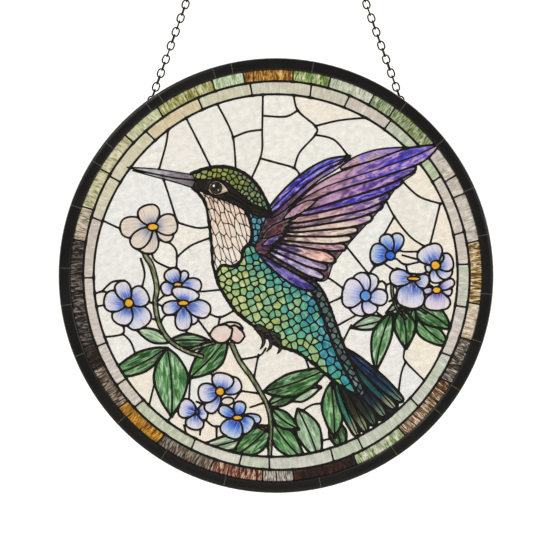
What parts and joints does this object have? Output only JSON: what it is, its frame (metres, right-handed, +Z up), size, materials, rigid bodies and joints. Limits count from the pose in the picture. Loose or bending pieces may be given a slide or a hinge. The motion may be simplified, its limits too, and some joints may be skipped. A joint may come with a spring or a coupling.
{
  "type": "stained glass suncatcher",
  "caption": "Round leaded glass panel with a hummingbird among blossoms, in a dark metal rim, hung by two chains from a ring.",
  "frame": {"origin": "in the eye of the hanging ring, on the inside of its top, where a hook bears", "axes": "+Z up along the hanging line, +X to the right as seen from the front, the panel's front towards -Y"},
  "size_m": [0.3, 0.0126, 0.5194],
  "materials": {
    "glass_crown": "olive green glass in small scales",
    "glass_cheek": "near-black glass",
    "glass_mauve": "mauve and violet mottled glass",
    "glass_violet": "violet-blue mottled glass",
    "glass_dusky": "dusky mauve streaky glass",
    "glass_pink": "pale pink opalescent glass",
    "glass_lavender": "lavender streaky glass",
    "glass_indigo": "indigo glass",
    "glass_bill": "smooth pale grey-lilac glass",
    "glass_throat": "cream-pink opalescent glass in fine feathers",
    "glass_neck": "blue glass in small scales",
    "glass_back": "teal and turquoise glass in small scales",
    "glass_belly": "yellow-green glass in small scales",
    "glass_navy": "dark navy and teal streaky glass",
    "glass_tail_black": "near-black glass",
    "glass_tail_teal": "dark teal glass",
    "glass_blush": "cream-blush opalescent glass",
    "glass_petal": "white opalescent glass with blue veins running in to a yellow or blue middle",
    "glass_leaf": "mid green streaky glass",
    "glass_pale_leaf": "pale green streaky glass",
    "glass_stem": "pale olive glass",
    "glass_umber": "brown, amber and sage streaky glass",
    "glass_sage": "grey-green wispy glass",
    "glass_field": "rippled white opalescent glass",
    "lead": "black-patinated solder, softly rounded",
    "rim": "black, satin",
    "chain": "black, satin"
  },
  "bodies": {
    "root": {"bird_crown": "glass_crown", "bird_cheek": "glass_cheek", "wing_primary": "glass_mauve", "wing_covert": "glass_violet", "wing_feather_1": "glass_mauve", "wing_feather_2": "glass_violet", "wing_feather_3": "glass_dusky", "wing_feather_4": "glass_pink", "wing_feather_5": "glass_lavender", "wing_feather_6": "glass_indigo", "wing_top_band": "glass_pink", "bird_bill": "glass_bill", "bird_throat": "glass_throat", "bird_neck": "glass_neck", "bird_back": "glass_back", "bird_belly": "glass_belly", "tail_upper": "glass_navy", "tail_middle": "glass_tail_black", "tail_lower": "glass_tail_teal", "blossom_left_high": "glass_blush", "blossom_left_blue": "glass_petal", "blossom_left_front": "glass_petal", "blossom_left_back": "glass_petal", "blossom_right_blue": "glass_petal", "blossom_right_pale": "glass_petal", "blossom_right_low": "glass_petal", "blossom_right_high": "glass_petal", "blossom_right_back": "glass_petal", "blossom_low_right": "glass_petal", "blossom_low_high": "glass_petal", "blossom_low_left": "glass_petal", "rose_bud": "glass_blush", "leaf_left_low": "glass_leaf", "leaf_left_down": "glass_pale_leaf", "leaf_left_right": "glass_leaf", "leaf_mid_high": "glass_leaf", "leaf_mid_fold": "glass_leaf", "leaf_low_left": "glass_leaf", "leaf_tail": "glass_leaf", "leaf_right_left": "glass_pale_leaf", "leaf_right_mid": "glass_leaf", "leaf_right_far": "glass_pale_leaf", "stem_left": "glass_stem", "stem_low": "glass_stem", "border_outer": "glass_umber", "border_inner": "glass_sage", "field_pane_1": "glass_field", "field_pane_2": "glass_field", "field_pane_3": "glass_field", "field_pane_4": "glass_field", "field_pane_5": "glass_field", "lead_lines": "lead", "frame_rim": "rim", "hanging_ring": "chain", "chain_left": "chain", "chain_right": "chain", "chain_loop_left": "chain", "chain_loop_right": "chain"}
  },
  "joints": []
}
